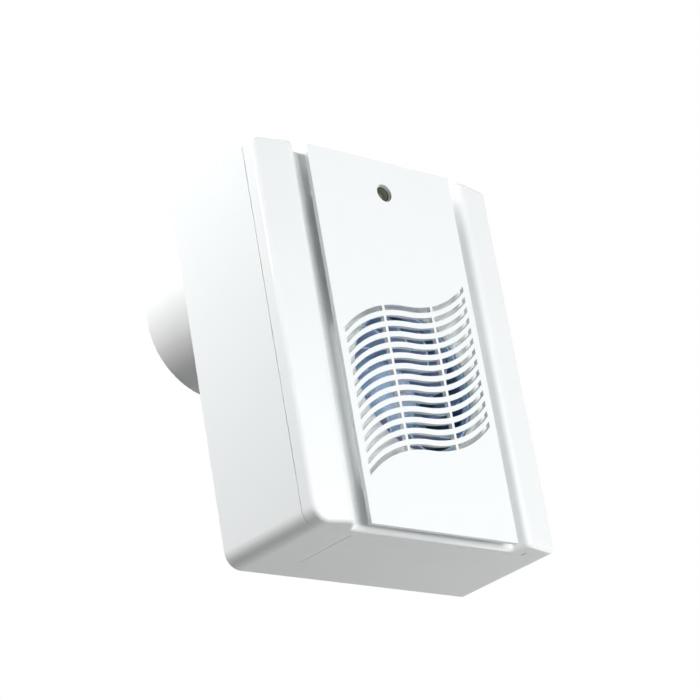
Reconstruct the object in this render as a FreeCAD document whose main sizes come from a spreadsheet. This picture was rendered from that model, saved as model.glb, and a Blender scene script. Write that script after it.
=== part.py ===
"""Bathroom extractor fan: box housing, sunken-channel cover, floating wave-slot panel, centrifugal fan.

Frame: X to the right seen from the room, Y into the wall, Z up. The origin is the middle of the back face.
Depths ("d" in the comments) are measured forward from the wall, so depth d lies at y = -d.
"""
import FreeCAD
import Part
import math
import os
import re
import Sketcher
from types import SimpleNamespace
from FreeCAD import Placement, Rotation, Vector

doc = FreeCAD.newDocument("ExtractorFan")

SIZES = {
    # housing
    "body_width": 206,
    "body_height": 262,
    "housing_depth": 75,
    "wall": 2.5,
    "back_wall": 3,
    "corner_radius": 4,
    "lower_left_radius": 11,
    "wall_screw_radius": 2.4,
    "wall_screw_inset": 11,
    "score_depth": 0.4,
    "score_width": 0.6,
    "score_inset": 40.4,
    "score_start": 23,
    # front cover
    "side_depth": 11,
    "ridge_step": 0.2,
    "ridge_inset": 28.5,
    "ridge_radius": 6.5,
    "channel_height": 6,
    "channel_inset": 35,
    "channel_radius": 3,
    "rim_radius": 3.2,
    "seam_width": 0.7,
    "seam_depth": 0.9,
    "lip_length": 4,
    "lip_thickness": 1.8,
    "lip_clearance": 0.2,
    "lip_root_height": 1.5,
    "lip_root_overlap": 0.4,
    "lip_root_rise": 0.2,
    "slit_width": 1.4,
    "slit_length": 5.8,
    "slit_inset": 22,
    # louvre panel
    "panel_inset": 40,
    "panel_thickness": 3,
    "panel_gap": 8.5,
    "panel_margin": 0.5,
    "panel_edge_radius": 0.6,
    "slot_count": 14,
    "slot_pitch": 7.42,
    "slot_height": 3.7,
    "slot_margin": 6,
    "slot_middle": -24.8,
    "wave_radius": 80,
    "rib_width": 2.2,
    "rib_left": 20,
    "rib_right": 23.5,
    "post_radius": 4,
    "post_side_inset": 11,
    "post_end_inset": 30,
    # sensor
    "sensor_top_inset": 24.2,
    "sensor_hole_radius": 6.3,
    "sensor_lens_radius": 5.3,
    "lens_clearance": 0.05,
    "sensor_recess": 0.7,
    "sensor_dome": 1.1,
    "sensor_holder_radius": 8,
    "holder_gap": 0.3,
    "holder_edge": 0.6,
    "sensor_lead_radius": 2.5,
    # spigot and backdraught shutter
    "spigot_radius": 49.25,
    "spigot_wall": 2,
    "spigot_lip_radius": 0.9,
    "spigot_mouth_radius": 0.8,
    "spigot_length": 56,
    "spigot_side": 62,
    "spigot_top": 67,
    "spigot_flange": 5,
    "flange_thickness": 2,
    "seal_thickness": 1,
    "seal_margin": 0.5,
    "seal_bore_gap": 0.4,
    "spigot_fit": 0.15,
    "spigot_shoulder": 0.6,
    "seat_depth": 3.8,
    "seat_thickness": 1.5,
    "seat_width": 3,
    "pin_radius": 1.2,
    "pin_seat": 1,
    "knuckle_radius": 2.4,
    "knuckle_gap": 0.4,
    "knuckle_length": 12,
    "knuckle_pitch": 15,
    "knuckle_start": 6,
    "hinge_clearance": 0.05,
    "flap_thickness": 1,
    "flap_clearance": 1.4,
    "flap_seat_gap": 0.3,
    "flap_middle_gap": 1,
    "spring_space": 10,
    "spring_wire": 0.6,
    "spring_pitch": 0.81,
    "spring_turns": 10,
    "spring_leg": 7,
    "spring_lean": 12,
    # scroll
    "scroll_left_gap": 0.75,
    "scroll_right_inset": 22,
    "scroll_step": 12,
    "scroll_wall": 2,
    "scroll_top": 2,
    "inlet_gap": 0.3,
    "lug_radius": 4,
    "lug_drop_left": 20,
    "lug_drop_right": 6,
    "outlet_lip": 1,
    "inlet_overlap": 5.9,
    "inlet_lip": 1.6,
    "inlet_lip_height": 3.2,
    "cover_inlet_gap": 1.7,
    "cover_inlet_chamfer": 1.2,
    "pilot_radius": 1.25,
    "screw_radius": 1.25,
    "screw_head_radius": 2.6,
    "screw_head": 1.6,
    "screw_bite": 8,
    "screw_tip_room": 1,
    "driver_slot_width": 0.7,
    "post_floor": 2,
    "post_tip_room": 3,
    # impeller and motor
    "fan_z": -20.8,
    "tongue_gap": 12.5,
    "impeller_disc": 2,
    "impeller_setback": 16,
    "blade_count": 11,
    "blade_thickness": 1.6,
    "blade_root": 0.5,
    "blade_clearance": 3,
    "hub_radius": 31,
    "hub_wall": 2,
    "nose_radius": 17,
    "nose_drop": 1,
    "nose_round": 15.5,
    "shoulder_round": 9.3,
    "boss_gap": 4,
    "boss_length": 16,
    "boss_radius": 6,
    "shaft_radius": 2.5,
    "shaft_tip": 2,
    "clip_radius": 5.5,
    "clip_thickness": 1.2,
    "rubber_height": 4,
    "rubber_radius": 4.5,
    "motor_flange": 32,
    "motor_flange_thickness": 1.5,
    "motor_bolt_radius": 28.9,
    "motor_radius": 26,
    "bell_depth": 8,
    "bell_wall": 1.5,
    "stator_length": 16,
    "rotor_radius": 13,
    "air_gap": 0.4,
    "winding_inner": 15,
    "winding_outer": 22,
    "winding_overhang": 3.5,
    "bush_radius": 5,
    "bush_length": 6,
    "bush_clearance": 0.03,
    "bush_seat_wall": 2,
    "bush_setback": 0.5,
    # electrics
    "board_gap": 14,
    "board_height": 62,
    "board_thickness": 1.6,
    "board_standoff": 11,
    "board_side_inset": 16.5,
    "board_top_inset": 19,
    "board_post_radius": 3.5,
    "board_post_inset": 4,
    "transformer_width": 22,
    "transformer_height": 19,
    "transformer_depth": 16,
    "core_depth": 8,
    "coil_inset": 3,
    "relay_width": 13,
    "relay_height": 16,
    "relay_depth": 15,
    "capacitor_width": 17,
    "capacitor_height": 8,
    "capacitor_depth": 13,
    "part_spacing": 13,
    "trimmer_size": 7.5,
    "trimmer_height": 4,
    "trimmer_floor": 1,
    "timer_side": 16.9,
    "humidity_side": 5.2,
    "dial_drop": 6.2,
    "dial_radius": 2.8,
    "dial_thickness": 1.6,
    "dial_stem_radius": 1.5,
    "dial_stem_gap": 0.4,
    "dial_slot_width": 0.8,
    "dial_clearance": 0.05,
    "terminal_inset": 1,
    "terminal_width": 30,
    "terminal_height": 11,
    "terminal_depth": 12,
    "terminal_pitch": 9.5,
    "terminal_screw_radius": 1.8,
    "terminal_screw_length": 3,
    "terminal_screw_clearance": 0.05,
    "terminal_slot_depth": 0.8,
    "terminal_well_floor": 5,
    "terminal_entry_width": 4,
    "terminal_entry_depth": 3,
    "terminal_entry_floor": 1.5,
    "terminal_entry_drop": 3,
    "grommet_radius": 9,
    "grommet_bore": 4.5,
    "grommet_lip": 1.5,
    "cable_side_inset": 33,
    "cable_drop": 21,
}

sizes = doc.addObject("Spreadsheet::Sheet", "Sizes")
for row, (alias, number) in enumerate(SIZES.items(), start=1):
    sizes.set("A%d" % row, alias)
    sizes.set("B%d" % row, str(number))
    sizes.setAlias("B%d" % row, alias)
doc.recompute()
s = SimpleNamespace(**{alias: float(sizes.get(alias)) for alias in SIZES})

FORWARD = Rotation(Vector(1, 0, 0), 90)  # turns +Z to -Y, away from the wall
parts = []


# ---------------------------------------------------------------- helpers

def expression(text):
    """Prefix every size name with the sheet's name."""
    def cell(match):
        word = match.group(0)
        return "Sizes." + word if word in SIZES else word
    return re.sub(r"[a-z][a-z_0-9]*", cell, str(text))


def bind(obj, prop, text):
    obj.setExpression(prop, expression(text))


def place(obj, x="0", d="0", z="0"):
    bind(obj, "Placement.Base.x", x)
    bind(obj, "Placement.Base.y", "-(%s)" % d)
    bind(obj, "Placement.Base.z", z)


def rod(name, radius, d, length, x="0", z="0"):
    """Cylinder that runs forward from depth d."""
    obj = doc.addObject("Part::Cylinder", name)
    obj.Placement = Placement(Vector(), FORWARD)
    bind(obj, "Radius", radius)
    bind(obj, "Height", length)
    place(obj, x, d, z)
    return obj


def cone(name, radius_back, radius_front, d, length, x="0", z="0"):
    obj = doc.addObject("Part::Cone", name)
    obj.Placement = Placement(Vector(), FORWARD)
    bind(obj, "Radius1", radius_back)
    bind(obj, "Radius2", radius_front)
    bind(obj, "Height", length)
    place(obj, x, d, z)
    return obj


def block(name, width, depth, height, x="0", d="0", z="0"):
    """Box centred on x and z that runs forward from depth d."""
    obj = doc.addObject("Part::Box", name)
    bind(obj, "Length", width)
    bind(obj, "Width", depth)
    bind(obj, "Height", height)
    place(obj, "(%s) - (%s) / 2" % (x, width), "(%s) + (%s)" % (d, depth), "(%s) - (%s) / 2" % (z, height))
    return obj


def cut(name, base, tool):
    obj = doc.addObject("Part::Cut", name)
    obj.Base = base
    obj.Tool = tool
    return obj


def fuse(name, shapes):
    obj = doc.addObject("Part::MultiFuse", name)
    obj.Shapes = shapes
    return obj


def group(name, shapes):
    obj = doc.addObject("Part::Compound", name)
    obj.Links = shapes
    return obj


def ring(name, outer, inner, d, length, x="0", z="0"):
    return cut(name, rod(name + "_outer", outer, d, length, x, z),
               rod(name + "_bore", inner, "(%s) - 1" % d, "(%s) + 2" % length, x, z))


def finish(obj, label):
    """Name a finished sub-part after its node."""
    obj.Label = label
    parts.append(obj)
    return obj


def new_body(label, x="0", d="0", z="0"):
    body = doc.addObject("PartDesign::Body", label)
    place(body, x, d, z)
    return body


def new_sketch(body, role, offset="0"):
    """Sketch on an origin plane of its body. On XZ_Plane the offset runs forward from the wall."""
    sketch = body.newObject("Sketcher::SketchObject", body.Name + "_sketch")
    planes = [item for item in body.Origin.OriginFeatures if item.Role == role]
    sketch.AttachmentSupport = [(planes[0], "")]
    sketch.MapMode = "FlatFace"
    bind(sketch, "AttachmentOffset.Base.z", offset)
    return sketch


def locate(sketch, index, point, axis, text):
    """Tie a point's distance from the sketch origin to the sheet."""
    if str(text) == "0":
        sketch.addConstraint(Sketcher.Constraint("PointOnObject", index, point, -2 if axis == "X" else -1))
    else:
        number = sketch.addConstraint(Sketcher.Constraint("Distance" + axis, -1, 1, index, point, 1.0))
        bind(sketch, "Constraints[%d]" % number, text)


def circle(sketch, radius, x="0", z="0"):
    index = sketch.addGeometry(Part.Circle(Vector(1, 1, 0), Vector(0, 0, 1), 1), False)
    number = sketch.addConstraint(Sketcher.Constraint("Radius", index, 1.0))
    bind(sketch, "Constraints[%d]" % number, radius)
    locate(sketch, index, 3, "X", x)
    locate(sketch, index, 3, "Y", z)


def rectangle(sketch, left, right, low, high):
    corners = [Vector(-1, -1, 0), Vector(1, -1, 0), Vector(1, 1, 0), Vector(-1, 1, 0)]
    lines = [sketch.addGeometry(Part.LineSegment(corners[i], corners[(i + 1) % 4]), False) for i in range(4)]
    for i in range(4):
        sketch.addConstraint(Sketcher.Constraint("Coincident", lines[i], 2, lines[(i + 1) % 4], 1))
        sketch.addConstraint(Sketcher.Constraint("Horizontal" if i % 2 == 0 else "Vertical", lines[i]))
    locate(sketch, lines[0], 1, "X", left)
    locate(sketch, lines[0], 1, "Y", low)
    locate(sketch, lines[2], 1, "X", right)
    locate(sketch, lines[2], 1, "Y", high)


def rounded_path(corners):
    """Closed outline through (x, y, radius) corners, each radius as a tangent arc."""
    count = len(corners)
    ends = []
    arcs = []
    for i, (x, y, radius) in enumerate(corners):
        here = Vector(x, y, 0)
        before = Vector(*corners[i - 1][:2], 0) - here
        after = Vector(*corners[(i + 1) % count][:2], 0) - here
        before.normalize()
        after.normalize()
        if radius <= 0:
            ends.append((here, here))
            continue
        half = before.getAngle(after) / 2
        reach = radius / math.tan(half)
        middle = before + after
        middle.normalize()
        start = here + before * reach
        stop = here + after * reach
        crown = here + middle * (radius / math.sin(half) - radius)
        ends.append((start, stop))
        arcs.append(Part.Arc(start, crown, stop))
    lines = []
    for i in range(count):
        start = ends[i][1]
        stop = ends[(i + 1) % count][0]
        if (stop - start).Length > 1e-6:
            lines.append(Part.LineSegment(start, stop))
    return lines + arcs


def draw(sketch, curves):
    for curve in curves:
        sketch.addGeometry(curve, False)


def feature(body, kind, sketch, length=None, **props):
    """Pad, Pocket, Revolution or Groove made from one sketch."""
    obj = body.newObject("PartDesign::" + kind, body.Name + "_" + kind.lower())
    obj.Profile = sketch
    for prop, value in props.items():
        setattr(obj, prop, value)
    if length is not None:
        bind(obj, "Length", length)
    if kind in ("Revolution", "Groove"):
        obj.ReferenceAxis = (sketch, ["V_Axis"])
        obj.Angle = 360
    body.Tip = obj
    return obj


def turned(label, profile, x="0", z="0"):
    """Body turned about the fan-wise (Y) axis from (radius, depth) corners with optional radii."""
    body = new_body(label, x, "0", z)
    sketch = new_sketch(body, "XY_Plane")
    draw(sketch, rounded_path([(r, -d, f[0] if f else 0) for r, d, *f in profile]))
    feature(body, "Revolution", sketch)
    return body


def wire_of(curves):
    return Part.Wire(Part.__sortEdges__([curve.toShape() for curve in curves]))


def arc(centre, radius, start, stop):
    """Arc from angle start to stop, in degrees, counter-clockwise."""
    base = Part.Circle(Vector(*centre, 0), Vector(0, 0, 1), radius)
    return Part.ArcOfCircle(base, math.radians(start), math.radians(stop))


def driver_cross(name, d, depth, x, z):
    """Two crossed driver slots that run forward from depth d."""
    narrow = "driver_slot_width"
    wide = "screw_head_radius * 1.3"
    return fuse(name + "_cross", [block(name + "_slot_upright", narrow, depth, wide, x, d, z),
                                  block(name + "_slot_level", wide, depth, narrow, x, d, z)])


def screw(name, x, z, head_d, tip_d):
    """Pan-head screw with a cross slot. The head stands forward of head_d, the shank ends at tip_d."""
    head = rod(name + "_head", "screw_head_radius", head_d, "screw_head", x, z)
    shank = rod(name + "_shank", "screw_radius", tip_d, "(%s) - (%s) + 0.2" % (head_d, tip_d), x, z)
    return cut(name, fuse(name + "_blank", [head, shank]),
               driver_cross(name, "(%s) + screw_head / 2" % head_d, "screw_head", x, z))


# ---------------------------------------------------------------- places shared by several pieces

def housing_outline(inset):
    """Rounded rectangle of the housing, shrunk by inset. The lower left corner is rounder."""
    x = s.body_width / 2 - inset
    z = s.body_height / 2 - inset
    small = max(s.corner_radius - inset, 0.5)
    large = max(s.lower_left_radius - inset, 0.5)
    return rounded_path([(-x, -z, large), (x, -z, small), (x, z, small), (-x, z, small)])


SPIGOT_X = "(spigot_side - body_width / 2)"
SPIGOT_Z = "(body_height / 2 - spigot_top)"
spigot_z = s.body_height / 2 - s.spigot_top

OUTLET_RADIUS = "(spigot_radius - spigot_wall - outlet_lip)"
SCROLL_LEFT = "(spigot_side - %s - scroll_left_gap)" % OUTLET_RADIUS
SCROLL_RADIUS = "((body_width - %s - scroll_right_inset - 3 * scroll_step) / 2)" % SCROLL_LEFT
TONGUE_X = "(body_width / 2 - scroll_right_inset - %s)" % SCROLL_RADIUS
FAN_X = "(%s - scroll_step / 2)" % TONGUE_X
IMPELLER_RADIUS = "(%s - tongue_gap)" % SCROLL_RADIUS
INLET_RADIUS = "(%s - inlet_overlap)" % IMPELLER_RADIUS
SCROLL_BACK = "(back_wall + seal_thickness + flange_thickness)"
SCROLL_FLOOR = "(%s + scroll_wall)" % SCROLL_BACK
SCROLL_RIM = "(housing_depth + channel_height - wall - inlet_gap - inlet_lip_height - scroll_wall)"
SCROLL_DEPTH = "(%s - %s)" % (SCROLL_RIM, SCROLL_BACK)
SCROLL_FRONT = "(%s + scroll_wall)" % SCROLL_RIM
scroll_back = s.back_wall + s.seal_thickness + s.flange_thickness
scroll_floor = scroll_back + s.scroll_wall
scroll_left = s.spigot_side - (s.spigot_radius - s.spigot_wall - s.outlet_lip) - s.scroll_left_gap
scroll_radius = (s.body_width - scroll_left - s.scroll_right_inset - 3 * s.scroll_step) / 2
fan_x = s.body_width / 2 - s.scroll_right_inset - scroll_radius - s.scroll_step / 2

# the volute is four quarter arcs whose centres step round a square beside the fan's axis
top_centre = (fan_x + s.scroll_step / 2, s.fan_z - s.scroll_step / 2)
low_centre = (top_centre[0] - s.scroll_step, top_centre[1])
left_centre = (low_centre[0], low_centre[1] + s.scroll_step)
outlet_right = top_centre[0]
outlet_left = left_centre[0] - scroll_radius - 2 * s.scroll_step
outlet_top = spigot_z + s.spigot_radius + s.scroll_top


def scroll_outline(grow):
    """Volute with its upward outlet channel, grown by the given amount."""
    top_radius = scroll_radius + grow
    tongue_angle = math.degrees(math.acos(grow / top_radius))
    tongue = top_centre[1] + math.sqrt(top_radius ** 2 - grow ** 2)
    right = arc(top_centre, top_radius, 0, tongue_angle)
    low = arc(low_centre, top_radius + s.scroll_step, 270, 360)
    left = arc(left_centre, top_radius + 2 * s.scroll_step, 180, 270)
    x_left = outlet_left - grow
    x_right = outlet_right + grow
    z_top = outlet_top + grow
    points = [(x_right, tongue), (x_right, z_top), (x_left, z_top), (x_left, left_centre[1])]
    lines = [Part.LineSegment(Vector(*a, 0), Vector(*b, 0)) for a, b in zip(points, points[1:])]
    return [right, low, left] + lines


lug_reach = s.scroll_wall + s.lug_radius * 0.8


def beside(centre, radius, angle):
    """Lug centre outside an arc of the volute."""
    reach = radius + lug_reach
    turn = math.radians(angle)
    return (centre[0] + reach * math.cos(turn), centre[1] + reach * math.sin(turn))


RIGHT_LUG_ANGLE = 12
LOW_LUG_ANGLE = -58
LEFT_LUG_ANGLE = 225
lugs = [
    beside(top_centre, scroll_radius, RIGHT_LUG_ANGLE),
    beside(low_centre, scroll_radius + s.scroll_step, LOW_LUG_ANGLE),
    beside(left_centre, scroll_radius + 2 * s.scroll_step, LEFT_LUG_ANGLE),
    (outlet_left - lug_reach, outlet_top - s.lug_drop_left),
    (outlet_right + lug_reach, outlet_top - s.lug_drop_right),
]

BOARD_WIDTH = "(body_width / 2 - board_side_inset - %s - board_gap)" % TONGUE_X
BOARD_X = "(body_width / 2 - board_side_inset - %s / 2)" % BOARD_WIDTH
BOARD_Z = "(body_height / 2 - board_top_inset - board_height / 2)"
BOARD_D = "(back_wall + board_standoff)"
BOARD_FACE = "(%s + board_thickness)" % BOARD_D
board_corners = [("(%s + %d * (%s / 2 - board_post_inset))" % (BOARD_X, i, BOARD_WIDTH),
                  "(%s + %d * (board_height / 2 - board_post_inset))" % (BOARD_Z, k))
                 for i in (-1, 1) for k in (-1, 1)]
CABLE_X = "(body_width / 2 - cable_side_inset)"
CABLE_Z = "(%s - board_height / 2 - cable_drop)" % BOARD_Z

CHANNEL_FRONT = "(housing_depth + channel_height)"
FLOOR_BACK = "(%s - wall)" % CHANNEL_FRONT
PANEL_WIDTH = "(body_width - 2 * panel_inset)"
PANEL_BACK = "(%s + panel_gap)" % CHANNEL_FRONT
PANEL_FRONT = "(%s + panel_thickness)" % PANEL_BACK
SENSOR_Z = "(body_height / 2 - sensor_top_inset)"
post_places = [("%d * (%s / 2 - post_side_inset)" % (i, PANEL_WIDTH),
                "%d * (body_height / 2 - post_end_inset)" % k) for i in (-1, 1) for k in (-1, 1)]


# ---------------------------------------------------------------- housing

def make_rear_housing():
    body = new_body("rear_housing")
    outer = new_sketch(body, "XZ_Plane")
    draw(outer, housing_outline(0))
    feature(body, "Pad", outer, "housing_depth")
    inner = new_sketch(body, "XZ_Plane", "housing_depth")
    draw(inner, housing_outline(s.wall))
    feature(body, "Pocket", inner, "housing_depth - back_wall")

    scroll_feet = new_sketch(body, "XZ_Plane", "back_wall")
    draw(scroll_feet, [Part.Circle(Vector(x, z, 0), Vector(0, 0, 1), s.lug_radius) for x, z in lugs])
    feature(body, "Pad", scroll_feet, "seal_thickness + flange_thickness")
    posts = new_sketch(body, "XZ_Plane", "back_wall")
    for x, z in board_corners:
        circle(posts, "board_post_radius", x, z)
    feature(body, "Pad", posts, "board_standoff")

    through = new_sketch(body, "XZ_Plane", "back_wall")
    circle(through, "spigot_radius + spigot_shoulder + spigot_fit", SPIGOT_X, SPIGOT_Z)
    circle(through, "grommet_radius", CABLE_X, CABLE_Z)
    for i in (-1, 1):
        for k in (-1, 1):
            circle(through, "wall_screw_radius", "%d * (body_width / 2 - wall_screw_inset)" % i,
                   "%d * (body_height / 2 - wall_screw_inset)" % k)
    feature(body, "Pocket", through, "back_wall")
    pilots = new_sketch(body, "XZ_Plane", SCROLL_BACK)
    draw(pilots, [Part.Circle(Vector(x, z, 0), Vector(0, 0, 1), s.screw_radius) for x, z in lugs])
    feature(body, "Pocket", pilots, SCROLL_BACK)
    sinks = new_sketch(body, "XZ_Plane", "screw_head")
    draw(sinks, [Part.Circle(Vector(x, z, 0), Vector(0, 0, 1), s.screw_head_radius) for x, z in lugs])
    feature(body, "Pocket", sinks, "screw_head")
    tapped = new_sketch(body, "XZ_Plane", BOARD_D)
    for x, z in board_corners:
        circle(tapped, "pilot_radius", x, z)
    feature(body, "Pocket", tapped, "board_standoff - post_floor")

    score = new_sketch(body, "XZ_Plane", "housing_depth - wall")
    middle = "score_inset - body_width / 2"
    rectangle(score, middle + " - score_width / 2", middle + " + score_width / 2", "-body_height / 2 - 1",
              "score_depth - body_height / 2")
    feature(body, "Pocket", score, "housing_depth - wall - score_start")
    finish(body, "rear_housing")


# ---------------------------------------------------------------- front cover

def cover_profile(inset):
    """Cross-section seen from below: flanks that rise to a ridge, then drop to the sunken channel."""
    half = s.body_width / 2
    channel = s.housing_depth + s.channel_height
    ridge_x = half - s.ridge_inset
    channel_x = half - s.channel_inset
    right = [(half, -s.housing_depth - s.side_depth, 0),
             (ridge_x, s.ridge_step - channel - s.panel_gap - s.panel_thickness, s.ridge_radius),
             (channel_x, -channel, -s.channel_radius)]
    left = [(-x, y, r) for x, y, r in reversed(right)]
    return rounded_path(inset_corners([(half, 0, 0)] + right + left + [(-half, 0, 0)], inset))


def inset_corners(corners, inset):
    """Clockwise corners moved inward by inset. A hollow corner has its radius given as a minus value."""
    moved = []
    for i, (x, y, radius) in enumerate(corners):
        here = Vector(x, y, 0)
        before = here - Vector(*corners[i - 1][:2], 0)
        after = Vector(*corners[(i + 1) % len(corners)][:2], 0) - here
        before.normalize()
        after.normalize()
        normals = Vector(before.y + after.y, -before.x - after.x, 0)
        here = here + normals * (inset / (1 + before.dot(after)))
        moved.append((here.x, here.y, abs(radius - inset) if radius else 0))
    return moved


def extruded(name, curves, direction, base, length):
    """Solid swept from a flat outline drawn in XY, along Z or forward."""
    outline = doc.addObject("Part::Feature", name + "_outline")
    outline.Shape = wire_of(curves)
    if direction == "forward":
        outline.Placement = Placement(Vector(0, 0, 0), FORWARD)
        place(outline, "0", base, "0")
    else:
        bind(outline, "Placement.Base.z", base)
    solid = doc.addObject("Part::Extrusion", name)
    solid.Base = outline
    solid.DirMode = "Custom"
    solid.Dir = Vector(0, -1, 0) if direction == "forward" else Vector(0, 0, 1)
    solid.Solid = True
    bind(solid, "LengthFwd", length)
    return solid


def is_wall(face):
    """Whether a face of the cover's block stands square to the front, as its four sides do."""
    u_low, u_high, v_low, v_high = face.ParameterRange
    return abs(face.normalAt((u_low + u_high) / 2, (v_low + v_high) / 2).y) < 0.001


def front_rim(shape):
    """Numbers of the edges where the cover's sides meet its front."""
    return [n for n, edge in enumerate(shape.Edges, start=1)
            if edge.BoundBox.YMax < -s.housing_depth - 1
            and len([f for f in shape.ancestorsOfType(edge, Part.Face) if is_wall(f)]) == 1]


def make_front_cover():
    below = "-body_height / 2 - 1"
    past = "body_height + 2"
    tallest = "side_depth + channel_height + panel_gap + panel_thickness"
    outer = doc.addObject("Part::Common", "cover_outer")
    outer.Base = extruded("cover_block", housing_outline(0), "forward", "housing_depth", tallest)
    outer.Tool = extruded("cover_form", cover_profile(0), "up", below, past)
    doc.recompute()
    soft = doc.addObject("Part::Fillet", "cover_soft")
    soft.Base = outer
    soft.Edges = [(n, s.rim_radius, s.rim_radius) for n in front_rim(outer.Shape)]
    inner = doc.addObject("Part::Common", "cover_inner")
    inner.Base = extruded("cover_hollow", housing_outline(s.wall), "forward", "housing_depth - 1", tallest)
    inner.Tool = extruded("cover_under", cover_profile(s.wall), "up", below, past)
    # the lip fits inside the housing's walls, and its root joins it to the cover's own walls
    lip_outside = s.wall + s.lip_clearance
    lip_inside = lip_outside + s.lip_thickness
    lip = cut("cover_lip",
              extruded("lip_outer", housing_outline(lip_outside), "forward", "housing_depth - lip_length",
                       "lip_length + lip_root_height"),
              extruded("lip_inner", housing_outline(lip_inside), "forward", "housing_depth - lip_length - 1",
                       "lip_length + lip_root_height + 2"))
    root = cut("cover_lip_root",
               extruded("root_outer", housing_outline(s.wall - s.lip_root_overlap), "forward",
                        "housing_depth + lip_root_rise", "lip_root_height - lip_root_rise"),
               extruded("root_inner", housing_outline(lip_inside), "forward", "housing_depth - 1",
                        "lip_root_height + 2"))
    shell = cut("cover_shell", soft, inner)
    joined = fuse("cover_joined", [shell, lip, root])
    hole = INLET_RADIUS + " + cover_inlet_gap"
    tools = [
        rod("cover_inlet", hole, FLOOR_BACK + " - 1", "wall + 2", FAN_X, "fan_z"),
        cone("cover_inlet_edge", hole, hole + " + 2 * cover_inlet_chamfer",
             CHANNEL_FRONT + " - cover_inlet_chamfer", "2 * cover_inlet_chamfer", FAN_X, "fan_z"),
        rod("cover_sensor_lead", "sensor_lead_radius", FLOOR_BACK + " - 1", "wall + 2", "0", SENSOR_Z),
        block("cover_slit", "slit_width", "slit_length", "wall * 4", "body_width / 2 - slit_inset",
              "housing_depth", "-body_height / 2"),
    ]
    tools += [rod("cover_post_hole%d" % i, "screw_radius", FLOOR_BACK + " - 1", "wall + 2", x, z)
              for i, (x, z) in enumerate(post_places)]
    # the shadow gap: a shallow step round the outside of the rim that meets the housing
    tools.append(cut("cover_seam",
                     extruded("seam_outer", housing_outline(-1), "forward", "housing_depth - 1",
                              "seam_width + 1"),
                     extruded("seam_inner", housing_outline(s.seam_depth), "forward", "housing_depth - 2",
                              "seam_width + 3")))
    finish(cut("front_cover", joined, fuse("cover_openings", tools)), "front_cover")


# ---------------------------------------------------------------- louvre panel

def wave(u, level):
    """Height of the slot's wave at u from the panel's middle: two tangent arcs, flat in the middle."""
    rise = s.wave_radius - math.sqrt(s.wave_radius ** 2 - u ** 2)
    return level + (rise if u > 0 else -rise)


def wave_arc(u_start, u_stop, level):
    middle = (u_start + u_stop) / 2
    return Part.Arc(*[Vector(u, wave(u, level), 0) for u in (u_start, middle, u_stop)])


def slot_outline(u_start, u_stop, level):
    """One slot segment: two waves a slot height apart, closed by upright ends."""
    turns = [u_start, u_stop] if u_start * u_stop >= 0 else [u_start, 0, u_stop]
    curves = []
    for side in (level - s.slot_height / 2, level + s.slot_height / 2):
        curves += [wave_arc(a, b, side) for a, b in zip(turns, turns[1:])]
    for u in (u_start, u_stop):
        ends = [Vector(u, wave(u, level + k * s.slot_height / 2), 0) for k in (-1, 1)]
        curves.append(Part.LineSegment(*ends))
    return curves


def make_louvre_panel():
    body = new_body("louvre_panel")
    plate = new_sketch(body, "XZ_Plane", PANEL_BACK)
    rectangle(plate, "-%s / 2" % PANEL_WIDTH, "%s / 2" % PANEL_WIDTH, "panel_margin - body_height / 2",
              "body_height / 2 - panel_margin")
    sheet = feature(body, "Pad", plate, "panel_thickness")
    doc.recompute()
    front = s.housing_depth + s.channel_height + s.panel_gap + s.panel_thickness
    rim = ["Edge%d" % n for n, edge in enumerate(sheet.Shape.Edges, start=1)
           if edge.BoundBox.YMax < -front + 0.01 and edge.BoundBox.YMin > -front - 0.01]
    soft = body.newObject("PartDesign::Fillet", "panel_edge")
    soft.Base = (sheet, rim)
    bind(soft, "Radius", "panel_edge_radius")
    body.Tip = soft
    posts = new_sketch(body, "XZ_Plane", CHANNEL_FRONT)
    for x, z in post_places:
        circle(posts, "post_radius", x, z)
    feature(body, "Pad", posts, "panel_gap")
    holes = new_sketch(body, "XZ_Plane", CHANNEL_FRONT + " + screw_bite")
    for x, z in post_places:
        circle(holes, "pilot_radius", x, z)
    feature(body, "Pocket", holes, "screw_bite")
    window = new_sketch(body, "XZ_Plane", PANEL_FRONT)
    circle(window, "sensor_hole_radius", "0", SENSOR_Z)
    feature(body, "Pocket", window, "panel_thickness")
    row = new_sketch(body, "XZ_Plane", PANEL_FRONT)
    lowest = s.slot_middle - s.slot_pitch * (s.slot_count - 1) / 2
    half_span = s.body_width / 2 - s.panel_inset - s.slot_margin
    spans = [(-half_span, -s.rib_left - s.rib_width / 2),
             (-s.rib_left + s.rib_width / 2, s.rib_right - s.rib_width / 2),
             (s.rib_right + s.rib_width / 2, half_span)]
    for start, stop in spans:
        draw(row, slot_outline(start, stop, lowest))
    slots = feature(body, "Pocket", row, "panel_thickness")
    rows = body.newObject("PartDesign::LinearPattern", "slot_rows")
    rows.Originals = [slots]
    rows.Direction = (row, ["V_Axis"])
    bind(rows, "Length", "slot_pitch * (slot_count - 1)")
    bind(rows, "Occurrences", "slot_count")
    body.Tip = rows
    finish(body, "louvre_panel")
    finish(group("panel_screws", [rear_screw("panel_screw%d" % i, x, z, FLOOR_BACK,
                                             "wall + screw_bite - screw_tip_room")
                                  for i, (x, z) in enumerate(post_places)]), "panel_screws")


def rear_screw(name, x, z, seat_d, length):
    """Pan-head screw driven forward from behind: the head lies just behind seat_d."""
    head = rod(name + "_head", "screw_head_radius", "(%s) - screw_head" % seat_d, "screw_head", x, z)
    shank = rod(name + "_shank", "screw_radius", "(%s) - 0.2" % seat_d, "(%s) + 0.2" % length, x, z)
    return cut(name, fuse(name + "_blank", [head, shank]),
               driver_cross(name, "(%s) - screw_head" % seat_d, "screw_head / 2", x, z))


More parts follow.
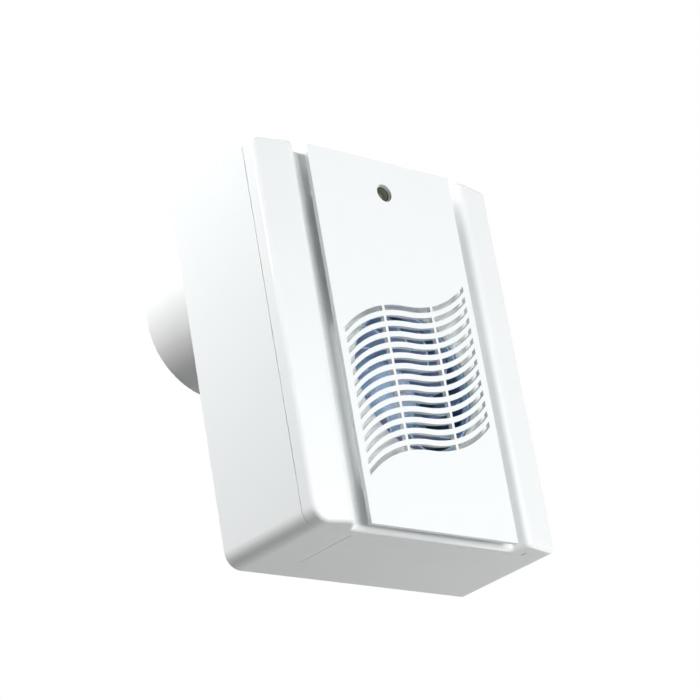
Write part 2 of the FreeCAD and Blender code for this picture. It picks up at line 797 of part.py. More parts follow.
def make_sensor():
    seat = s.housing_depth + s.channel_height
    panel_back = seat + s.panel_gap
    panel_front = panel_back + s.panel_thickness
    inner = s.sensor_lens_radius + s.lens_clearance
    rim = panel_back - s.holder_gap
    holder = [(inner, seat), (s.sensor_holder_radius, seat), (s.sensor_holder_radius, rim, s.holder_edge),
              (inner, rim)]
    finish(turned("sensor_holder", holder, "0", SENSOR_Z), "sensor_holder")
    top = panel_front - s.sensor_recess
    body = new_body("sensor_lens", "0", "0", SENSOR_Z)
    sketch = new_sketch(body, "XY_Plane")
    shoulder = top - s.sensor_dome
    dome_radius = (s.sensor_lens_radius ** 2 + s.sensor_dome ** 2) / (2 * s.sensor_dome)
    half = math.asin(s.sensor_lens_radius / dome_radius) / 2
    crown = Vector(dome_radius * math.sin(half), -(top - dome_radius * (1 - math.cos(half))), 0)
    base = Vector(0, -seat, 0)
    foot = Vector(s.sensor_lens_radius, -seat, 0)
    edge = Vector(s.sensor_lens_radius, -shoulder, 0)
    apex = Vector(0, -top, 0)
    draw(sketch, [Part.LineSegment(base, foot), Part.LineSegment(foot, edge), Part.Arc(edge, crown, apex),
                  Part.LineSegment(apex, base)])
    feature(body, "Revolution", sketch)
    finish(body, "sensor_lens")


# ---------------------------------------------------------------- spigot and backdraught shutter

PIN_Y = "(seat_depth + seat_thickness + flap_seat_gap + knuckle_radius)"


def make_spigot():
    bore = s.spigot_radius - s.spigot_wall
    flange_front = s.back_wall + s.seal_thickness + s.flange_thickness
    flange_back = s.back_wall + s.seal_thickness
    shoulder = s.spigot_radius + s.spigot_shoulder
    # depths are negative outside the wall face
    rim = s.spigot_radius + s.spigot_flange
    seat = bore - s.seat_width
    seat_end = -s.seat_depth - s.seat_thickness
    profile = [(bore, flange_front, s.spigot_mouth_radius), (rim, flange_front), (rim, flange_back),
               (shoulder, flange_back), (shoulder, 0), (s.spigot_radius, -s.spigot_shoulder),
               (s.spigot_radius, -s.spigot_length, s.spigot_lip_radius),
               (bore, -s.spigot_length, s.spigot_lip_radius),
               (bore, seat_end), (seat, seat_end), (seat, -s.seat_depth), (bore, -s.seat_depth)]
    body = turned("duct_spigot", profile, SPIGOT_X, SPIGOT_Z)
    # blind seats for the shutter pin in the tube's wall, above and below
    seats = new_sketch(body, "XY_Plane", "-(spigot_radius - spigot_wall + pin_seat)")
    circle(seats, "pin_radius", "0", PIN_Y)
    feature(body, "Pocket", seats, "2 * (spigot_radius - spigot_wall + pin_seat)", Reversed=True)
    finish(body, "duct_spigot")
    finish(ring("spigot_seal", "spigot_radius + spigot_flange - seal_margin",
                "spigot_radius + spigot_shoulder + spigot_fit + seal_bore_gap", "back_wall", "seal_thickness",
                SPIGOT_X, SPIGOT_Z), "spigot_seal")


def upright(name, radius, low, length):
    """Cylinder on the shutter's pin axis."""
    obj = doc.addObject("Part::Cylinder", name)
    bind(obj, "Radius", radius)
    bind(obj, "Height", length)
    place(obj, SPIGOT_X, "-" + PIN_Y, "%s + (%s)" % (SPIGOT_Z, low))
    return obj


def make_flap(side, label):
    """Half-round flap: side is -1 or 1 along X. Knuckles alternate up the pin, two to each flap."""
    plate = doc.addObject("Part::Cylinder", label + "_disc")
    plate.Placement = Placement(Vector(), FORWARD)
    bind(plate, "Radius", "spigot_radius - spigot_wall - flap_clearance")
    bind(plate, "Height", "flap_thickness")
    plate_back = "(-%s + knuckle_radius - flap_thickness)" % PIN_Y
    place(plate, SPIGOT_X, plate_back, SPIGOT_Z)
    half = doc.addObject("Part::Box", label + "_half")
    bind(half, "Length", "spigot_radius")
    bind(half, "Width", "flap_thickness * 3")
    bind(half, "Height", "2 * spigot_radius")
    start = " + flap_middle_gap" if side > 0 else " - flap_middle_gap - spigot_radius"
    place(half, SPIGOT_X + start, "%s + 2 * flap_thickness" % plate_back, "%s - spigot_radius" % SPIGOT_Z)
    disc = doc.addObject("Part::Common", label + "_plate")
    disc.Base = plate
    disc.Tool = half
    bays = ["-2 * knuckle_pitch", "-knuckle_pitch", "knuckle_start", "knuckle_start + knuckle_pitch"]
    own = bays[0::2] if side > 0 else bays[1::2]
    other = bays[1::2] if side > 0 else bays[0::2]
    knuckles = [upright(label + "_knuckle%d" % i, "knuckle_radius", low, "knuckle_length")
                for i, low in enumerate(own)]
    whole = fuse(label + "_whole", [disc] + knuckles)
    tools = [upright(label + "_notch%d" % i, "knuckle_radius + knuckle_gap * 1.5", "(%s) - knuckle_gap" % low,
                     "knuckle_length + 2 * knuckle_gap") for i, low in enumerate(other)]
    tools.append(upright(label + "_spring_bay", "knuckle_radius + knuckle_gap * 1.5", "-spring_space / 2",
                         "spring_space"))
    tools.append(upright(label + "_bore", "pin_radius + hinge_clearance", "-spigot_radius",
                         "2 * spigot_radius"))
    finish(cut(label, whole, fuse(label + "_tools", tools)), label)


def make_shutter():
    reach = "(spigot_radius - spigot_wall + pin_seat)"
    finish(upright("shutter_pin", "pin_radius", "-" + reach, "2 * " + reach), "shutter_pin")
    make_flap(-1, "shutter_flap_left")
    make_flap(1, "shutter_flap_right")
    coil_radius = s.pin_radius + s.spring_wire / 2 + s.hinge_clearance
    height = s.spring_pitch * (s.spring_turns + s.spring_lean / 180)
    helix = Part.Wire(Part.makeHelix(s.spring_pitch, height, coil_radius))
    section = Part.Circle(Vector(coil_radius, 0, 0), Vector(0, 1, 0), s.spring_wire / 2)
    coil = helix.makePipeShell([Part.Wire([section.toShape()])], True, True)
    # each leg runs on from an end of the coil and bears on one flap
    legs = []
    for level, way in ((0, -1), (height, 1)):
        legs.append(Part.makeCylinder(s.spring_wire / 2, s.spring_leg, Vector(coil_radius, 0, level),
                                      Vector(0, way, 0)))
    for shape, turn in zip([coil] + legs, (-1, -1, 1)):
        shape.rotate(Vector(), Vector(0, 0, 1), -90 + turn * s.spring_lean)
    spring = doc.addObject("Part::Feature", "shutter_spring")
    spring.Shape = Part.makeCompound([coil] + legs)
    place(spring, SPIGOT_X, "-" + PIN_Y, "%s - %f" % (SPIGOT_Z, height / 2))
    finish(spring, "shutter_spring")


# ---------------------------------------------------------------- scroll

def make_scroll():
    casing = new_body("scroll_casing")
    outer = new_sketch(casing, "XZ_Plane", SCROLL_BACK)
    draw(outer, scroll_outline(s.scroll_wall))
    feature(casing, "Pad", outer, SCROLL_DEPTH)
    for x, z in lugs:
        lug = new_sketch(casing, "XZ_Plane", SCROLL_BACK)
        draw(lug, [Part.Circle(Vector(x, z, 0), Vector(0, 0, 1), s.lug_radius)])
        feature(casing, "Pad", lug, SCROLL_DEPTH)
    inner = new_sketch(casing, "XZ_Plane", SCROLL_RIM)
    draw(inner, scroll_outline(0))
    feature(casing, "Pocket", inner, SCROLL_DEPTH + " - scroll_wall")
    outlet = new_sketch(casing, "XZ_Plane", SCROLL_FLOOR)
    circle(outlet, OUTLET_RADIUS, SPIGOT_X, SPIGOT_Z)
    for x, z in motor_bolts:
        circle(outlet, "screw_radius", x, z)
    feature(casing, "Pocket", outlet, "scroll_wall")
    for sketch_d, length in ((SCROLL_RIM, "screw_bite"), (SCROLL_BACK + " + screw_bite", "screw_bite")):
        pilots = new_sketch(casing, "XZ_Plane", sketch_d)
        draw(pilots, [Part.Circle(Vector(x, z, 0), Vector(0, 0, 1), s.pilot_radius) for x, z in lugs])
        feature(casing, "Pocket", pilots, length)
    finish(casing, "scroll_casing")

    cover = new_body("scroll_cover")
    plate = new_sketch(cover, "XZ_Plane", SCROLL_RIM)
    draw(plate, scroll_outline(s.scroll_wall))
    feature(cover, "Pad", plate, "scroll_wall")
    for x, z in lugs:
        lug = new_sketch(cover, "XZ_Plane", SCROLL_RIM)
        draw(lug, [Part.Circle(Vector(x, z, 0), Vector(0, 0, 1), s.lug_radius)])
        feature(cover, "Pad", lug, "scroll_wall")
    collar = new_sketch(cover, "XZ_Plane", SCROLL_FRONT)
    circle(collar, INLET_RADIUS + " + inlet_lip", FAN_X, "fan_z")
    feature(cover, "Pad", collar, "inlet_lip_height")
    holes = new_sketch(cover, "XZ_Plane", SCROLL_FRONT + " + inlet_lip_height")
    circle(holes, INLET_RADIUS, FAN_X, "fan_z")
    feature(cover, "Pocket", holes, "inlet_lip_height + scroll_wall")
    pilots = new_sketch(cover, "XZ_Plane", SCROLL_FRONT)
    draw(pilots, [Part.Circle(Vector(x, z, 0), Vector(0, 0, 1), s.screw_radius) for x, z in lugs])
    feature(cover, "Pocket", pilots, "scroll_wall")
    finish(cover, "scroll_cover")

    finish(group("scroll_screws", [screw("scroll_screw%d" % i, x, z, SCROLL_FRONT,
                                         SCROLL_RIM + " - screw_bite + screw_tip_room")
                                   for i, (x, z) in enumerate(lugs)]), "scroll_screws")
    finish(group("casing_screws", [rear_screw("casing_screw%d" % i, x, z, "screw_head",
                                              SCROLL_BACK + " + screw_bite - screw_tip_room - screw_head")
                                   for i, (x, z) in enumerate(lugs)]), "casing_screws")


# ---------------------------------------------------------------- motor and impeller

RUBBER_TOP = "(%s + rubber_height)" % SCROLL_FLOOR
FLANGE_TOP = "(%s + motor_flange_thickness)" % RUBBER_TOP
STATOR_BACK = "(%s + bell_depth)" % RUBBER_TOP
STATOR_FRONT = "(%s + stator_length)" % STATOR_BACK
BELL_FRONT = "(%s + bell_depth)" % STATOR_FRONT
DISC_BACK = "(%s + impeller_setback)" % RUBBER_TOP
HUB_FRONT = "(%s + boss_gap + boss_length)" % BELL_FRONT

MOTOR_BOLT_ANGLES = (90, 210, 330)
bolt_offsets = [("%.6f * motor_bolt_radius" % math.cos(math.radians(a)),
                 "%.6f * motor_bolt_radius" % math.sin(math.radians(a))) for a in MOTOR_BOLT_ANGLES]
motor_bolts = [("(%s + %s)" % (FAN_X, dx), "(fan_z + %s)" % dz) for dx, dz in bolt_offsets]


def make_motor():
    rubber_top = scroll_floor + s.rubber_height
    stator_back = rubber_top + s.bell_depth
    stator_front = stator_back + s.stator_length
    bell_front = stator_front + s.bell_depth
    finish(group("rubber_mounts", [ring("rubber_mount%d" % i, "rubber_radius", "screw_radius", SCROLL_FLOOR,
                                        "rubber_height", x, z) for i, (x, z) in enumerate(motor_bolts)]),
           "rubber_mounts")
    flange_top = rubber_top + s.motor_flange_thickness
    bell_inside = s.motor_radius - s.bell_wall
    bush_seat = s.bush_radius + s.bush_seat_wall
    rear_bush_top = rubber_top + s.bell_wall / 2 + s.bush_length
    rear = [(s.bush_radius, rubber_top), (s.motor_flange, rubber_top), (s.motor_flange, flange_top),
            (s.motor_radius, flange_top), (s.motor_radius, stator_back), (bell_inside, stator_back),
            (bell_inside, rubber_top + s.bell_wall, s.bell_wall / 1.5), (bush_seat, rubber_top + s.bell_wall),
            (bush_seat, rear_bush_top), (s.bush_radius, rear_bush_top)]
    body = turned("motor_rear_bell", rear, FAN_X, "fan_z")
    bolts = new_sketch(body, "XZ_Plane", FLANGE_TOP)
    for dx, dz in bolt_offsets:
        circle(bolts, "screw_radius", "0" if dx.startswith("0.000000") else dx, dz)
    feature(body, "Pocket", bolts, "motor_flange_thickness")
    finish(body, "motor_rear_bell")
    bell_floor = bell_front - s.bell_wall
    front_bush_back = bell_front - s.bush_length - s.bush_setback
    front = [(s.bush_radius, bell_front), (s.motor_radius, bell_front, s.bell_wall),
             (s.motor_radius, stator_front), (bell_inside, stator_front), (bell_inside, bell_floor),
             (bush_seat, bell_floor), (bush_seat, front_bush_back), (s.bush_radius, front_bush_back)]
    finish(turned("motor_front_bell", front, FAN_X, "fan_z"), "motor_front_bell")
    finish(ring("rear_bush", "bush_radius", "shaft_radius + bush_clearance", RUBBER_TOP + " + bell_wall / 2",
                "bush_length", FAN_X, "fan_z"), "rear_bush")
    finish(ring("front_bush", "bush_radius", "shaft_radius + bush_clearance",
                BELL_FRONT + " - bush_length - bush_setback", "bush_length", FAN_X, "fan_z"), "front_bush")
    finish(ring("motor_stator", "motor_radius", "rotor_radius + air_gap", STATOR_BACK, "stator_length",
                FAN_X, "fan_z"), "motor_stator")
    finish(group("motor_windings", [
        ring("winding_rear", "winding_outer", "winding_inner", STATOR_BACK + " - winding_overhang",
             "winding_overhang", FAN_X, "fan_z"),
        ring("winding_front", "winding_outer", "winding_inner", STATOR_FRONT, "winding_overhang",
             FAN_X, "fan_z")]), "motor_windings")
    finish(group("motor_screws", [screw("motor_screw%d" % i, x, z, FLANGE_TOP, SCROLL_BACK)
                                  for i, (x, z) in enumerate(motor_bolts)]), "motor_screws")
    finish(ring("motor_rotor", "rotor_radius", "shaft_radius", STATOR_BACK, "stator_length", FAN_X, "fan_z"),
           "motor_rotor")

    shaft_back = "(%s + bell_wall)" % RUBBER_TOP
    finish(rod("motor_shaft", "shaft_radius", shaft_back,
               "%s + clip_thickness + shaft_tip - %s" % (HUB_FRONT, shaft_back), FAN_X, "fan_z"),
           "motor_shaft")
    finish(ring("impeller_clip", "clip_radius", "shaft_radius", HUB_FRONT, "clip_thickness", FAN_X, "fan_z"),
           "impeller_clip")
    make_impeller()


def make_impeller():
    body = new_body("impeller", FAN_X, DISC_BACK, "fan_z")
    sketch = new_sketch(body, "XY_Plane")
    # hub: a cup over the motor with a domed front, a boss on the shaft and a disc behind the blades
    bell_front = scroll_floor + s.rubber_height + s.bell_depth * 2 + s.stator_length
    disc_back = scroll_floor + s.rubber_height + s.impeller_setback
    hub_height = bell_front + s.boss_gap + s.boss_length - disc_back
    impeller_radius = scroll_radius - s.tongue_gap
    inner = s.hub_radius - s.hub_wall
    straight = hub_height / 2
    under = hub_height - s.hub_wall
    outline = [(inner, 0, 0), (impeller_radius, 0, 0), (impeller_radius, s.impeller_disc, 0),
               (s.hub_radius, s.impeller_disc, s.impeller_disc), (s.hub_radius, straight, s.shoulder_round),
               (s.nose_radius, hub_height - s.nose_drop, s.nose_round), (s.shaft_radius, hub_height, 0),
               (s.shaft_radius, hub_height - s.boss_length, 0),
               (s.boss_radius, hub_height - s.boss_length, 0), (s.boss_radius, under, 0),
               (s.nose_radius - s.hub_wall * 0.75, under - s.nose_drop, s.nose_round - s.hub_wall),
               (inner, straight - s.hub_wall * 0.4, s.shoulder_round - s.hub_wall)]
    draw(sketch, rounded_path([(radius, -d, bend) for radius, d, bend in outline]))
    feature(body, "Revolution", sketch)
    blade = new_sketch(body, "XZ_Plane", "impeller_disc - blade_root")
    draw(blade, blade_outline(s.hub_radius - 1, impeller_radius))
    pad = feature(body, "Pad", blade, "%s - blade_clearance - (%s + impeller_disc - blade_root)"
                  % (SCROLL_RIM, DISC_BACK))
    fan = body.newObject("PartDesign::PolarPattern", "blades")
    fan.Originals = [pad]
    fan.Axis = (blade, ["N_Axis"])
    fan.Angle = 360
    bind(fan, "Occurrences", "blade_count")
    body.Tip = fan
    finish(body, "impeller")


BLADE_LEAN = 38  # degrees that the tip trails the root
BLADE_BOW = 0.14  # height of the blade's curve as a share of its chord


def blade_outline(root, tip):
    """Backward-curved blade between two arcs a blade's thickness apart."""
    lean = math.radians(BLADE_LEAN)
    half = s.blade_thickness / 2
    start = Vector(root, 0, 0)
    stop = Vector(tip * math.cos(lean), tip * math.sin(lean), 0)
    chord = stop - start
    normal = Vector(-chord.y, chord.x, 0).normalize()
    bow = chord.Length * BLADE_BOW
    curves = []
    ends = []
    for side in (-half, half):
        a = start + normal * side
        b = stop + normal * side
        middle = (a + b) * 0.5 - normal * bow
        curves.append(Part.Arc(a, middle, b))
        ends.append((a, b))
    curves.append(Part.LineSegment(ends[0][0], ends[1][0]))
    curves.append(Part.LineSegment(ends[0][1], ends[1][1]))
    return curves


# ---------------------------------------------------------------- electrics

def on_board(dx, dz):
    return "(%s + (%s))" % (BOARD_X, dx), "(%s + (%s))" % (BOARD_Z, dz)


def make_electrics():
    board = block("board_blank", BOARD_WIDTH, "board_thickness", "board_height", BOARD_X, BOARD_D, BOARD_Z)
    holes = [rod("board_hole%d" % i, "screw_radius", BOARD_D + " - 1", "board_thickness + 2", x, z)
             for i, (x, z) in enumerate(board_corners)]
    finish(cut("control_board", board, fuse("board_holes", holes)), "control_board")
    finish(group("board_screws", [screw("board_screw%d" % i, x, z, BOARD_FACE, "back_wall + post_tip_room")
                                  for i, (x, z) in enumerate(board_corners)]), "board_screws")
    x, z = on_board("-transformer_width / 2", "board_height / 4")
    core = block("transformer_core", "transformer_width", "core_depth", "transformer_height", x,
                 BOARD_FACE + " + core_depth / 2", z)
    coil = block("transformer_coil", "transformer_width - 2 * coil_inset", "transformer_depth",
                 "transformer_height - 2 * coil_inset", x, BOARD_FACE, z)
    finish(fuse("transformer", [core, coil]), "transformer")
    x, z = on_board("part_spacing", "board_height / 4")
    finish(block("relay", "relay_width", "relay_depth", "relay_height", x, BOARD_FACE, z), "relay")
    x, z = on_board("part_spacing", "0")
    finish(block("capacitor", "capacitor_width", "capacitor_depth", "capacitor_height", x, BOARD_FACE, z),
           "capacitor")
    bases = []
    for name, dx in (("timer_dial", "-timer_side"), ("humidity_dial", "-humidity_side")):
        x, z = on_board(dx, "-dial_drop")
        case = block(name + "_case", "trimmer_size", "trimmer_height", "trimmer_size", x, BOARD_FACE, z)
        well = rod(name + "_well", "dial_stem_radius + dial_clearance", BOARD_FACE + " + trimmer_floor",
                   "trimmer_height", x, z)
        bases.append(cut(name + "_base", case, well))
        knob_d = BOARD_FACE + " + trimmer_height + dial_clearance * 4"
        disc = rod(name + "_disc", "dial_radius", knob_d, "dial_thickness", x, z)
        stem = rod(name + "_stem", "dial_stem_radius", BOARD_FACE + " + trimmer_floor + dial_stem_gap",
                   "trimmer_height", x, z)
        slot = block(name + "_slot", "dial_slot_width", "dial_thickness", "dial_radius * 1.5", x,
                     knob_d + " + dial_thickness / 2", z)
        finish(cut(name, fuse(name + "_blank", [disc, stem]), slot), name)
    finish(group("trimmer_bases", bases), "trimmer_bases")
    x, z = on_board("0", "terminal_height / 2 - board_height / 2 + terminal_inset")
    case = block("terminal_case", "terminal_width", "terminal_depth", "terminal_height", x, BOARD_FACE, z)
    floor = BOARD_FACE + " + terminal_well_floor"
    hollows = []
    screws = []
    for i in (-1, 0, 1):
        tag = "terminal%d" % (i + 1)
        tx = "(%s + %d * terminal_pitch)" % (x, i)
        hollows.append(rod(tag + "_well", "terminal_screw_radius + terminal_screw_clearance", floor,
                           "terminal_depth", tx, z))
        hollows.append(block(tag + "_entry", "terminal_entry_width", "terminal_entry_depth",
                             "terminal_height", tx, BOARD_FACE + " + terminal_entry_floor",
                             "%s - terminal_entry_drop" % z))
        pin = rod(tag + "_pin", "terminal_screw_radius", floor, "terminal_screw_length", tx, z)
        slot = block(tag + "_slot", "driver_slot_width", "terminal_slot_depth", "terminal_screw_radius * 3",
                     tx, floor + " + terminal_screw_length - terminal_slot_depth", z)
        screws.append(cut(tag + "_screw", pin, slot))
    finish(cut("terminal_block", case, fuse("terminal_wells", hollows)), "terminal_block")
    finish(group("terminal_screws", screws), "terminal_screws")
    grommet = [(s.grommet_bore, 0), (s.grommet_radius, 0), (s.grommet_radius, s.back_wall),
               (s.grommet_radius + s.grommet_lip, s.back_wall),
               (s.grommet_radius + s.grommet_lip, s.back_wall + s.grommet_lip, 0.6),
               (s.grommet_bore, s.back_wall + s.grommet_lip)]
    finish(turned("cable_grommet", grommet, CABLE_X, CABLE_Z), "cable_grommet")


make_rear_housing()
make_front_cover()
make_louvre_panel()
make_sensor()
make_spigot()
make_shutter()
make_scroll()
make_motor()
make_electrics()
doc.recompute()

# ---------------------------------------------------------------- check and write

for obj in doc.Objects:
    if "Invalid" in obj.State or "Error" in obj.State:
        raise RuntimeError("failed object: %s %s" % (obj.Name, obj.State))
for obj in parts:
    if obj.Shape.isNull() or not obj.Shape.isValid() or not obj.Shape.Solids:
        raise RuntimeError("bad shape: %s" % obj.Label)
os.makedirs("parts", exist_ok=True)
for obj in parts:
    obj.Shape.exportStep("parts/%s.step" % obj.Label)
    box = obj.Shape.BoundBox
    print("%-20s solids %2d volume %10.1f  x %7.1f %7.1f  y %7.1f %7.1f  z %7.1f %7.1f" % (
        obj.Label, len(obj.Shape.Solids), obj.Shape.Volume, box.XMin, box.XMax, box.YMin, box.YMax, box.ZMin,
        box.ZMax))
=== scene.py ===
"""Looks for the bathroom extractor fan: camera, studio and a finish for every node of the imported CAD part.

Everything is in metres, in the CAD frame: X to the right seen from the room, Y into the wall, Z up.
"""
import math

import bpy
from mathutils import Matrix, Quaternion, Vector


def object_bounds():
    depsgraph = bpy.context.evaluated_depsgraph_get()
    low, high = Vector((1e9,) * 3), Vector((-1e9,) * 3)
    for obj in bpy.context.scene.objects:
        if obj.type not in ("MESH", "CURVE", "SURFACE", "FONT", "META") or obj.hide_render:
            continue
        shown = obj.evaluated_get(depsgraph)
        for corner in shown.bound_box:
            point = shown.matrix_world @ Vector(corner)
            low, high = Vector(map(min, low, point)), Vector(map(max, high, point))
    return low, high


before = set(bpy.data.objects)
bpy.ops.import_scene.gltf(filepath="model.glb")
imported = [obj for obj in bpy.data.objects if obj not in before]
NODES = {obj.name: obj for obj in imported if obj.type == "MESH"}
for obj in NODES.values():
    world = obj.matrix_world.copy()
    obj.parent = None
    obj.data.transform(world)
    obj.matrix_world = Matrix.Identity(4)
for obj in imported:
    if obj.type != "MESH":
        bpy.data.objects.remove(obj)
cad_low, cad_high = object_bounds()
MM = 0.001

CAMERA_PLACE = Vector((-1.2092, -1.2522, -0.6877))
CAMERA_TARGET = Vector((-0.00883, -0.045, 0.01328))
CAMERA_ROLL = math.radians(-9.96)
CAMERA_LENS = 145.93
SENSOR_WIDTH = 36
CLIP_NEAR = 0.05
CLIP_FAR = 50

FLOOR_DROP = 1.0
FLOOR_SIZE = 8
FLOOR_GLOW = 0.6
SKY_LEVEL = 0.1

SUBSURFACE_DEPTH = 0.01
MOTTLE_SCALE = 35.0
MOTTLE_LIGHT_SHARE = 0.3
GLOSS_SPREAD = 0.15
WELD_DISTANCE = 0.002 * MM
BEVEL_SEGMENTS = 3
SHARP_ANGLE = math.radians(35)


# ---------------------------------------------------------------- camera and studio

def make_camera():
    data = bpy.data.cameras.new("camera")
    data.sensor_width = SENSOR_WIDTH
    data.lens = CAMERA_LENS
    data.clip_start = CLIP_NEAR
    data.clip_end = CLIP_FAR
    camera = bpy.data.objects.new("camera", data)
    bpy.context.scene.collection.objects.link(camera)
    camera.location = CAMERA_PLACE
    camera.rotation_mode = "QUATERNION"
    aim = (CAMERA_TARGET - CAMERA_PLACE).to_track_quat("-Z", "Y")
    camera.rotation_quaternion = aim @ Quaternion((0, 0, 1), CAMERA_ROLL)
    bpy.context.scene.camera = camera


def make_lamp(name, place, size, power):
    """A round white lamp, its size in metres and its power in watts, aimed at the origin."""
    data = bpy.data.lights.new(name, "AREA")
    data.shape = "DISK"
    data.size = size
    data.energy = power
    lamp = bpy.data.objects.new(name, data)
    bpy.context.scene.collection.objects.link(lamp)
    lamp.location = place
    lamp.rotation_mode = "QUATERNION"
    lamp.rotation_quaternion = (-Vector(place)).to_track_quat("-Z", "Y")


def make_world():
    """White to the camera and in reflections; a soft sky that is dimmer below lights the object."""
    world = bpy.data.worlds.new("studio")
    bpy.context.scene.world = world
    world.use_nodes = True
    graph = Graph(world.node_tree)
    direction = graph.add("ShaderNodeTexCoord").outputs["Generated"]
    height = graph.add("ShaderNodeSeparateXYZ", {0: direction}).outputs["Z"]
    level = graph.add("ShaderNodeMapRange", {"Value": height, "From Min": -1.0, "From Max": 1.0,
                                             "To Min": 0.0, "To Max": SKY_LEVEL})
    tinted = graph.add("ShaderNodeCombineColor", dict.fromkeys(range(3), level.outputs[0]))
    sky = graph.add("ShaderNodeBackground", {"Color": tinted.outputs[0], "Strength": 1.0})
    white = graph.add("ShaderNodeBackground", {"Color": (1, 1, 1, 1), "Strength": 1.0})
    path = graph.add("ShaderNodeLightPath")
    seen = graph.math("MAXIMUM", path.outputs["Is Camera Ray"], path.outputs["Is Glossy Ray"])
    seen = graph.math("MAXIMUM", seen, path.outputs["Is Transmission Ray"])
    mixed = graph.add("ShaderNodeMixShader", {0: seen, 1: sky.outputs[0], 2: white.outputs[0]})
    graph.add("ShaderNodeOutputWorld", {"Surface": mixed.outputs[0]})


def make_floor():
    bpy.ops.mesh.primitive_plane_add(size=FLOOR_SIZE, location=(0, 0, cad_low.z - FLOOR_DROP))
    floor = bpy.context.object
    floor.name = "floor"
    material = bpy.data.materials.new("floor")
    material.use_nodes = True
    graph = Graph(material.node_tree)
    noise = graph.add("ShaderNodeTexNoise", {"Scale": 30.0})
    shade = graph.add("ShaderNodeMapRange", {"Value": noise.outputs[0], "To Min": 0.5, "To Max": 0.53})
    colour = graph.add("ShaderNodeCombineColor", dict.fromkeys(range(3), shade.outputs[0]))
    matt = graph.add("ShaderNodeBsdfDiffuse", {"Color": colour.outputs[0]})
    glow = graph.add("ShaderNodeEmission", {"Color": (1, 1, 1, 1), "Strength": 1.0})
    path = graph.add("ShaderNodeLightPath")
    seen = graph.math("MAXIMUM", path.outputs["Is Camera Ray"], path.outputs["Is Glossy Ray"])
    mixed = graph.add("ShaderNodeMixShader", {0: graph.math("MULTIPLY", seen, FLOOR_GLOW), 1: matt.outputs[0],
                                              2: glow.outputs[0]})
    graph.add("ShaderNodeOutputMaterial", {"Surface": mixed.outputs[0]})
    floor.data.materials.append(material)


# ---------------------------------------------------------------- materials

class Graph:
    """Short way to add and join shader nodes in one tree."""

    def __init__(self, tree):
        self.tree = tree
        tree.nodes.clear()

    def add(self, kind, inputs=None, **props):
        node = self.tree.nodes.new(kind)
        for name, value in props.items():
            setattr(node, name, value)
        for key, value in (inputs or {}).items():
            socket = node.inputs[key]
            if isinstance(value, bpy.types.NodeSocket):
                self.tree.links.new(value, socket)
            else:
                socket.default_value = value
        return node

    def math(self, operation, first, second):
        return self.add("ShaderNodeMath", {0: first, 1: second}, operation=operation).outputs[0]


def moulded(name, colour, roughness=0.3, grain=0.02, grain_size=0.35, mottle=0.03, metallic=0.0,
            stretch=(1, 1, 1), subsurface=0.0):
    """A surface with slight colour mottling, uneven gloss and a fine grain, sizes in millimetres."""
    material = bpy.data.materials.new(name)
    material.use_nodes = True
    graph = Graph(material.node_tree)
    place = graph.add("ShaderNodeTexCoord").outputs["Object"]
    place = graph.add("ShaderNodeMapping", {"Vector": place, "Scale": stretch}).outputs[0]
    broad = graph.add("ShaderNodeTexNoise", {"Vector": place, "Scale": MOTTLE_SCALE, "Detail": 3.0}).outputs[0]
    fine = graph.add("ShaderNodeTexNoise", {"Vector": place, "Scale": 1 / (grain_size * MM) / 2,
                                            "Detail": 2.0}).outputs[0]
    dark = [max(0.0, c * (1 - mottle)) for c in colour] + [1]
    light = [min(1.0, c * (1 + mottle * MOTTLE_LIGHT_SHARE)) for c in colour] + [1]
    tone = graph.add("ShaderNodeMix", {0: broad, 6: dark, 7: light}, data_type="RGBA").outputs[2]
    gloss = graph.add("ShaderNodeMapRange", {"Value": broad, "From Min": 0.3, "From Max": 0.7,
                                             "To Min": roughness * (1 - GLOSS_SPREAD),
                                             "To Max": roughness * (1 + GLOSS_SPREAD)}).outputs[0]
    bump = graph.add("ShaderNodeBump", {"Height": fine, "Strength": 1.0, "Distance": grain * MM}).outputs[0]
    shader = graph.add("ShaderNodeBsdfPrincipled", {
        "Base Color": tone, "Roughness": gloss, "Normal": bump, "Metallic": metallic,
        "Subsurface Weight": subsurface, "Subsurface Scale": SUBSURFACE_DEPTH})
    graph.add("ShaderNodeOutputMaterial", {"Surface": shader.outputs[0]})
    return material


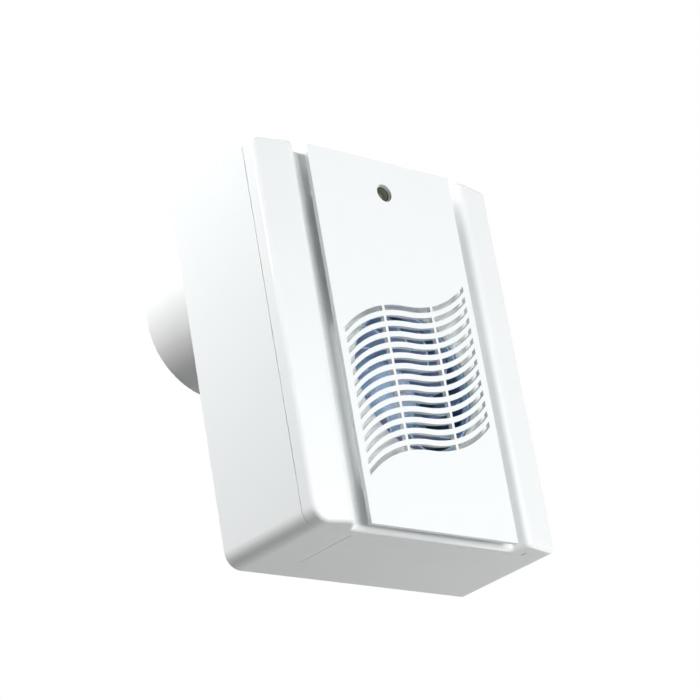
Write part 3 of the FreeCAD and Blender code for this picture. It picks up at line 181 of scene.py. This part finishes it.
def build_materials():
    return {
        "white": moulded("white_plastic", (0.88, 0.905, 0.905), 0.22, grain=0.006, mottle=0.015),
        "panel": moulded("panel_plastic", (0.9, 0.93, 0.93), 0.18, grain=0.004, mottle=0.01),
        "spigot": moulded("spigot_plastic", (0.86, 0.865, 0.865), 0.12, grain=0.004, mottle=0.02),
        "flap": moulded("flap_plastic", (0.8, 0.8, 0.79), 0.4, grain=0.01),
        "blue": moulded("blue_plastic", (0.57, 0.74, 1.0), 0.2, grain=0.006, mottle=0.1, subsurface=0.5),
        "lens": moulded("sensor_dark", (0.03, 0.032, 0.012), 0.08, grain=0.0, mottle=0.1),
        "zinc": moulded("zinc_steel", (0.72, 0.72, 0.7), 0.28, grain=0.01, metallic=1.0, mottle=0.1),
        "steel": moulded("ground_steel", (0.6, 0.61, 0.62), 0.2, grain=0.008, metallic=1.0, stretch=(1, 6, 1)),
        "rubber": moulded("foam_rubber", (0.05, 0.05, 0.05), 0.75, grain=0.05, grain_size=0.6),
        "bronze": moulded("bronze", (0.6, 0.42, 0.2), 0.35, grain=0.01, metallic=1.0),
        "stator": moulded("stator_steel", (0.22, 0.22, 0.23), 0.4, grain=0.03, metallic=1.0,
                           stretch=(0.2, 8, 0.2)),
        "copper": moulded("copper", (0.7, 0.3, 0.12), 0.3, grain=0.08, grain_size=0.4, metallic=1.0),
        "board": moulded("board_green", (0.02, 0.2, 0.07), 0.3, grain=0.01, mottle=0.2),
        "yellow": moulded("winding_tape", (0.8, 0.62, 0.08), 0.35, grain=0.02),
        "relay": moulded("relay_plastic", (0.03, 0.1, 0.4), 0.25, grain=0.01),
        "dial": moulded("dial_plastic", (0.9, 0.88, 0.78), 0.4, grain=0.01),
        "green": moulded("terminal_plastic", (0.1, 0.42, 0.18), 0.4, grain=0.01),
    }


NODE_FINISH = {
    "rear_housing": "white", "front_cover": "white", "louvre_panel": "panel", "sensor_lens": "lens",
    "sensor_holder": "panel", "duct_spigot": "spigot", "spigot_seal": "rubber", "shutter_pin": "steel",
    "shutter_flap_left": "flap", "shutter_flap_right": "flap", "shutter_spring": "steel",
    "scroll_casing": "blue", "scroll_cover": "blue", "rubber_mounts": "rubber", "rear_bush": "bronze",
    "front_bush": "bronze", "motor_stator": "stator", "motor_windings": "copper", "motor_rotor": "stator",
    "motor_shaft": "steel", "impeller_clip": "steel", "impeller": "blue", "control_board": "board",
    "transformer": "yellow", "relay": "relay", "capacitor": "yellow", "timer_dial": "dial",
    "humidity_dial": "dial", "trimmer_bases": "relay", "terminal_block": "green", "cable_grommet": "rubber",
}

# largest small radius on each moulded piece's edges, in millimetres: the modifier makes it much smaller where
# the mesh has short edges beside it, which is so along most of the housing, cover, panel and impeller
EDGE_RADIUS = {
    "rear_housing": 0.35, "front_cover": 0.9, "louvre_panel": 0.3, "impeller": 0.25, "scroll_casing": 0.4,
    "scroll_cover": 0.4, "shutter_flap_left": 0.2, "shutter_flap_right": 0.2,
}


def dress_nodes(materials):
    for name, node in NODES.items():
        finish = materials[NODE_FINISH.get(name, "zinc")]
        node.data.materials.clear()
        node.data.materials.append(finish)
        if name in EDGE_RADIUS:
            round_edges(node, EDGE_RADIUS[name] * MM)


def round_edges(node, width):
    """Joins the imported faces and rounds the sharp edges by up to width, with modifiers only."""
    for attribute in [a for a in node.data.attributes if a.name == "custom_normal"]:
        node.data.attributes.remove(attribute)
    for face in node.data.polygons:
        face.use_smooth = True
    weld = node.modifiers.new("weld", "WELD")
    weld.merge_threshold = WELD_DISTANCE
    bevel = node.modifiers.new("edge", "BEVEL")
    bevel.width = width
    bevel.segments = BEVEL_SEGMENTS
    bevel.limit_method = "ANGLE"
    bevel.angle_limit = SHARP_ANGLE
    bevel.miter_outer = "MITER_ARC"
    normals = node.modifiers.new("normals", "WEIGHTED_NORMAL")
    normals.keep_sharp = True


make_camera()
make_world()
make_floor()
make_lamp("side", (-0.95, 0.25, 0.75), 0.5, 15.2)
make_lamp("front", (0.3, -1.9, -0.75), 0.7, 8)
make_lamp("soft", (0, -1.8, -0.1), 2.0, 28)
make_lamp("under", (0.4, -0.05, -0.4), 0.2, 0.33)
make_lamp("back", (0.9, 1.3, 0.8), 0.8, 8)
dress_nodes(build_materials())

scene = bpy.context.scene
scene.view_settings.view_transform = "Standard"
